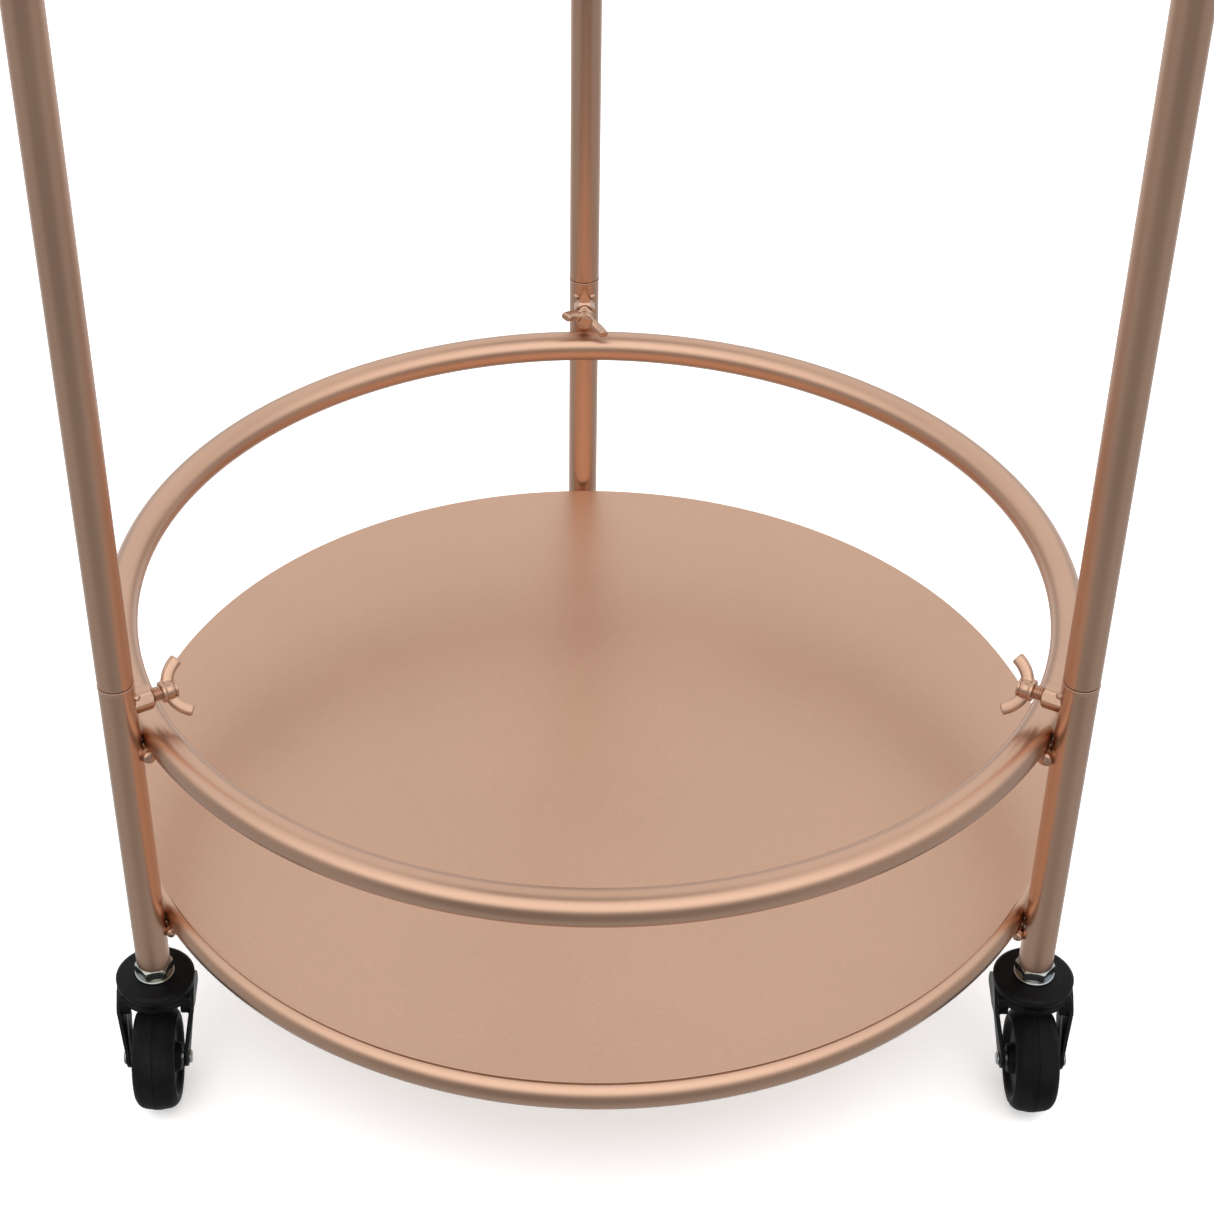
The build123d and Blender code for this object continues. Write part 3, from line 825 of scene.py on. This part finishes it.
def caster_fork(sizes):
    """Fork in millimetres about its swivel axis, x along the trail: a round head with a skirt, a web at
    each side of the wheel, and two legs whose distance from the middle follows a smooth step 3 t^2 - 2 t^3
    from the axle up to the head, melted together."""
    _, head_top = (value / MM for value in heights("left_fork"))
    radius = sizes.head_radius / MM
    trail, axle_z = TRAIL / MM, WHEEL_RADIUS / MM
    skirt, head_under, wall, bore = 61.0, 67.0, 2.2, 5.05
    head = turned(
        outline(
            (bore, head_under, 0),
            (bore, head_top, 0.3),
            (radius, head_top, 0.9),
            (radius, head_under - 0.4, 0.6),
            (radius - 0.7, head_under - 1.2, 0.6),
            (radius - 0.4, skirt, 0.6),
            (radius - wall, skirt, 0.6),
            (radius - wall, head_under, 1.6),
            closed=True,
            hold=1.0,
        ),
        np.zeros(3), wrap=True, sides=120,
    )
    eye_radius, leg_top, leg_axle, half_plate = 7.6, 20.6, 16.0, 1.25
    shoulder_low, shoulder_rise, web_faces = 3.0, 20.0, (14.0, 20.4)
    side_view = outline(
        (-37, 27, 2.5), (-36, 32, 3), (-29, 37, 6), (-17, 37, 8), (-9, 30, 10), (27.3, -30.6, eye_radius),
        (-26, 12, 9), closed=True, steps=12, hold=1.0,
    )
    web_view = outline(
        (-9, 24, 2), (14.5, 24, 2), (14.5, 36, 1), (-9, 36, 1), closed=True, hold=1.0
    )
    shapes = [head]
    for hand in (1, -1):
        rise = side_view[:, 1]
        shoulder = np.clip((rise - shoulder_low) / shoulder_rise, 0, 1)
        aside = leg_axle + (leg_top - leg_axle) * shoulder**2 * (3 - 2 * shoulder)
        plate = [
            np.stack([trail + side_view[:, 0], hand * (aside + offset), axle_z + rise], -1)
            for offset in (-half_plate, half_plate)
        ]
        shapes.append(skin(np.stack(plate)))
        web = [
            np.stack([web_view[:, 0], np.full(len(web_view), hand * face), axle_z + web_view[:, 1]], -1)
            for face in web_faces
        ]
        shapes.append(skin(np.stack(web)))
    return melted(merged(shapes), voxel=0.48, passes=4)


def build_casters(sizes):
    fork = caster_fork(sizes)
    cap_low, cap_high = heights("left_caster_cap")
    bore = 6 * MM
    cap = outline(
        (bore, cap_low, 0),
        (bore, cap_high, 0.2 * MM),
        (sizes.washer_radius + 1 * MM, cap_high, 1.5 * MM),
        (sizes.cap_radius - 1.6 * MM, cap_high - 0.9 * MM, 1.6 * MM),
        (sizes.cap_radius, cap_low + 0.5 * MM, 0.5 * MM),
        (sizes.cap_radius, cap_low, 0.2 * MM),
        closed=True,
    )
    rivet_radius, axle_radius = 4.4 * MM, 2.95 * MM
    rivet_end = 19.4 * MM
    head_start = rivet_end - 1.5 * MM
    axle = outline(
        (0, -rivet_end, 0),
        (rivet_radius - 1.2 * MM, -rivet_end, 1.6 * MM),
        (rivet_radius, -head_start, 0.3 * MM),
        (axle_radius, -head_start, 0),
        (axle_radius, head_start, 0),
        (rivet_radius, head_start, 0.3 * MM),
        (rivet_radius - 1.2 * MM, rivet_end, 1.6 * MM),
        (0, rivet_end, 0),
    )
    for side in SIDES:
        foot = POST_FOOT[side]
        hub = joint_point(f"{side}_wheel_spin")
        trailing = (hub - foot) * (1, 1, 0) / TRAIL
        piece(f"{side}_race_cover", turned(cap, foot, wrap=True), "black_nylon", f"{side}_caster_cap")
        shape = placed(fork, foot, trailing, np.cross(UP, trailing), UP, MM)
        piece(f"{side}_swivel_fork", shape, "black_nylon", f"{side}_fork")
        piece(f"{side}_axle_rivet", turned(axle, hub, AXLE[side], sides=64), "bright_zinc", f"{side}_axle")
        piece(f"{side}_tyre", wheel(hub, AXLE[side]), "tyre_rubber", f"{side}_wheel")


def wheel(hub, axis):
    """Wheel turned about its axle: half its outline (radius, distance from the middle, fillet), then the
    same mirrored, with a shallow groove at the middle of the tread."""
    half = np.array(
        [
            (4.1, 13.4, 0),
            (7.8, 13.4, 0.6),
            (9.0, 9.2, 1.5),
            (19.6, 8.6, 1.5),
            (21.6, 11.5, 1.2),
            (24.4, 12.1, 2.2),
            (28.4, 9.6, 6.5),
            (29.7, 1.2, 3.0),
            (29.7, 0.35, 0),
            (29.4, 0.2, 0),
        ]
    )
    mirror_half = half[::-1] * (1, -1, 1)
    profile = outline(*(np.vstack([half, mirror_half]) * MM), closed=True, steps=9)
    return turned(profile, hub, axis, sides=144, wrap=True)


def finish_cad_nodes():
    """Finishes for the CAD nodes that stay: the sealed inner pieces of each caster."""
    stay = {"caster_plugs": "oiled_steel", "caster_stems": "bright_zinc"}
    for side in SIDES:
        stay[f"{side}_race_balls"] = "oiled_steel"
        stay[f"{side}_axle_bush"] = "oiled_steel"
    for name, finish in stay.items():
        mesh = frame["nodes"][name].data
        mesh.materials.clear()
        mesh.materials.append(bpy.data.materials[finish])


# ------------------------------------------------------------------ studio


def make_world(settings):
    """Soft light by direction: white above, a brighter area high in front, a darker patch straight
    overhead, and grey at and below the horizon, darkest in front and palest behind."""
    world = bpy.data.worlds.new("studio_light")
    world.use_nodes = True
    tree = world.node_tree
    way = node(tree, "ShaderNodeTexCoord").outputs["Generated"]
    parts = node(tree, "ShaderNodeSeparateXYZ", {0: way}).outputs
    smooth = {"interpolation_type": "SMOOTHSTEP"}
    rise = spread(tree, parts["Z"], settings.ground, settings.sky, 0.02, 0.4, **smooth)
    ahead = spread(tree, parts["Y"], settings.front, 0.0, -0.6, 0.1)
    lift = spread(tree, parts["Z"], 0.0, 1.0, 0.25, 0.5, **smooth)
    beyond = spread(tree, parts["Y"], 0.8, 1.18, -0.82, -0.55)
    further = spread(tree, parts["Y"], 0.0, 0.9, 0.3, 0.85)
    low = spread(tree, parts["Z"], 1.0, 0.0, 0.0, 0.12)
    around = arithmetic(tree, "ADD", beyond, further)
    around = arithmetic(tree, "SUBTRACT", around, 1.0)
    around = arithmetic(tree, "MULTIPLY_ADD", around, low, 1.0)
    rise = arithmetic(tree, "MULTIPLY", rise, around)
    light = arithmetic(tree, "MULTIPLY_ADD", ahead, lift, rise)
    overhead = spread(tree, parts["Z"], 1.0, 0.5, 0.95, 0.98)
    light = arithmetic(tree, "MULTIPLY", light, overhead)
    tree.links.new(light, tree.nodes["Background"].inputs["Strength"])
    tree.nodes["Background"].inputs["Color"].default_value = (1, 1, 1, 1)
    bpy.context.scene.world = world


def make_floor():
    """Pale round floor that sweeps up at its edge, open above. It is left out of reflections so that the
    metal mirrors the soft ground light instead."""
    sides, middle, reach, sweep_radius = 128, 0.5, 9, 4
    sweep = outline((middle, 0, 0), (reach, 0, sweep_radius), (reach, reach, 0), steps=24, hold=0.3)
    points, quads, triangles = turned(sweep, np.zeros(3), sides=sides)
    mesh = bpy.data.meshes.new("studio_floor")
    mesh.from_pydata(points.tolist(), [], quads.tolist() + triangles[:sides].tolist())
    mesh.shade_smooth()
    _, shader = start_finish("pale_floor", Roughness=0.9)
    shader.inputs["Base Color"].default_value = (0.93, 0.93, 0.93, 1)
    shader.inputs["Emission Color"].default_value = (1, 1, 1, 1)
    shader.inputs["Emission Strength"].default_value = 0.3
    mesh.materials.append(bpy.data.materials["pale_floor"])
    floor = bpy.data.objects.new("studio_floor", mesh)
    floor.visible_glossy = False
    bpy.context.scene.collection.objects.link(floor)


def make_softbox():
    light = bpy.data.lights.new("overhead_softbox", "AREA")
    light.shape = "RECTANGLE"
    light.size, light.size_y = 2.4, 1.6
    light.energy = 26.0
    place_of_light, tilt = (0, -1.5, 3.0), math.radians(22)
    softbox = bpy.data.objects.new("overhead_softbox", light)
    softbox.visible_glossy = False
    softbox.matrix_world = Matrix.Translation(place_of_light) @ Matrix.Rotation(tilt, 4, "X")
    bpy.context.scene.collection.objects.link(softbox)


CAMERA_PLACE = (-0.0254128, -1.1115636, 1.0443707)


def make_camera(settings):
    data = bpy.data.cameras.new("studio_camera")
    data.lens = settings.lens
    data.sensor_width = 36.0
    data.shift_x = settings.shift
    camera = bpy.data.objects.new("studio_camera", data)
    camera.matrix_world = (
        Matrix.Translation(CAMERA_PLACE)
        @ Matrix.Rotation(settings.yaw, 4, "Z")
        @ Matrix.Rotation(math.pi / 2 - settings.pitch, 4, "X")
        @ Matrix.Rotation(settings.roll, 4, "Z")
    )
    bpy.context.scene.collection.objects.link(camera)
    bpy.context.scene.camera = camera


def make_studio(settings):
    make_world(settings)
    make_floor()
    make_softbox()
    make_camera(settings)
    bpy.context.scene.view_settings.view_transform = "Standard"


# ------------------------------------------------------------------ add-on


class GARMENT_RACK_OT_finishes(bpy.types.Operator):
    """Make the rose gold, zinc, nylon and rubber finishes"""

    bl_idname = "garment_rack.finishes"
    bl_label = "Finishes"

    def execute(self, context):
        make_finishes(context.scene.rack_finishes)
        finish_cad_nodes()
        return {"FINISHED"}


class GARMENT_RACK_OT_rings(bpy.types.Operator):
    """Make the three bent rings"""

    bl_idname = "garment_rack.rings"
    bl_label = "Rings"

    def execute(self, context):
        build_rings(context.scene.rack_sizes)
        return {"FINISHED"}


class GARMENT_RACK_OT_shelf(bpy.types.Operator):
    """Make the round shelf"""

    bl_idname = "garment_rack.shelf"
    bl_label = "Shelf"

    def execute(self, context):
        build_shelf(context.scene.rack_sizes)
        return {"FINISHED"}


class GARMENT_RACK_OT_posts(bpy.types.Operator):
    """Make the short posts, long posts, inner sleeves and end caps"""

    bl_idname = "garment_rack.posts"
    bl_label = "Posts"

    def execute(self, context):
        build_posts(context.scene.rack_sizes)
        build_post_caps(context.scene.rack_sizes)
        return {"FINISHED"}


class GARMENT_RACK_OT_welds(bpy.types.Operator):
    """Make the weld beads"""

    bl_idname = "garment_rack.welds"
    bl_label = "Welds"

    def execute(self, context):
        build_welds(context.scene.rack_sizes)
        return {"FINISHED"}


class GARMENT_RACK_OT_set_screws(bpy.types.Operator):
    """Make the weld nuts, studs and wing heads"""

    bl_idname = "garment_rack.set_screws"
    bl_label = "Set Screws"

    def execute(self, context):
        build_set_screws(context.scene.rack_sizes)
        return {"FINISHED"}


class GARMENT_RACK_OT_casters(bpy.types.Operator):
    """Make the casters with their nuts and washers"""

    bl_idname = "garment_rack.casters"
    bl_label = "Casters"

    def execute(self, context):
        build_caster_fasteners(context.scene.rack_sizes)
        build_casters(context.scene.rack_sizes)
        return {"FINISHED"}


class GARMENT_RACK_OT_studio(bpy.types.Operator):
    """Make the floor, light and camera"""

    bl_idname = "garment_rack.studio"
    bl_label = "Studio"

    def execute(self, context):
        make_studio(context.scene.rack_studio)
        return {"FINISHED"}


STEPS = (
    GARMENT_RACK_OT_finishes,
    GARMENT_RACK_OT_rings,
    GARMENT_RACK_OT_shelf,
    GARMENT_RACK_OT_posts,
    GARMENT_RACK_OT_welds,
    GARMENT_RACK_OT_set_screws,
    GARMENT_RACK_OT_casters,
    GARMENT_RACK_OT_studio,
)


class GARMENT_RACK_PT_sidebar(bpy.types.Panel):
    """Lists the steps and the sizes and finishes that they use"""

    bl_idname = "GARMENT_RACK_PT_sidebar"
    bl_label = "Garment Rack"
    bl_space_type = "VIEW_3D"
    bl_region_type = "UI"
    bl_category = "Garment Rack"

    def draw(self, context):
        for step in STEPS:
            self.layout.operator(step.bl_idname)
        for group in (context.scene.rack_sizes, context.scene.rack_finishes, context.scene.rack_studio):
            box = self.layout.box()
            for name in group.__annotations__:
                box.prop(group, name)


GROUPS = {"rack_sizes": RackSizes, "rack_finishes": RackFinishes, "rack_studio": RackStudio}
CLASSES = (*GROUPS.values(), *STEPS, GARMENT_RACK_PT_sidebar)


def register():
    for each in CLASSES:
        bpy.utils.register_class(each)
    for name, group in GROUPS.items():
        setattr(bpy.types.Scene, name, PointerProperty(type=group))


def unregister():
    for name in GROUPS:
        delattr(bpy.types.Scene, name)
    for each in reversed(CLASSES):
        bpy.utils.unregister_class(each)


def main():
    register()
    bpy.ops.garment_rack.finishes()
    bpy.ops.garment_rack.rings()
    bpy.ops.garment_rack.shelf()
    bpy.ops.garment_rack.posts()
    bpy.ops.garment_rack.welds()
    bpy.ops.garment_rack.set_screws()
    bpy.ops.garment_rack.casters()
    bpy.ops.garment_rack.studio()


if __name__ == "__main__":
    main()
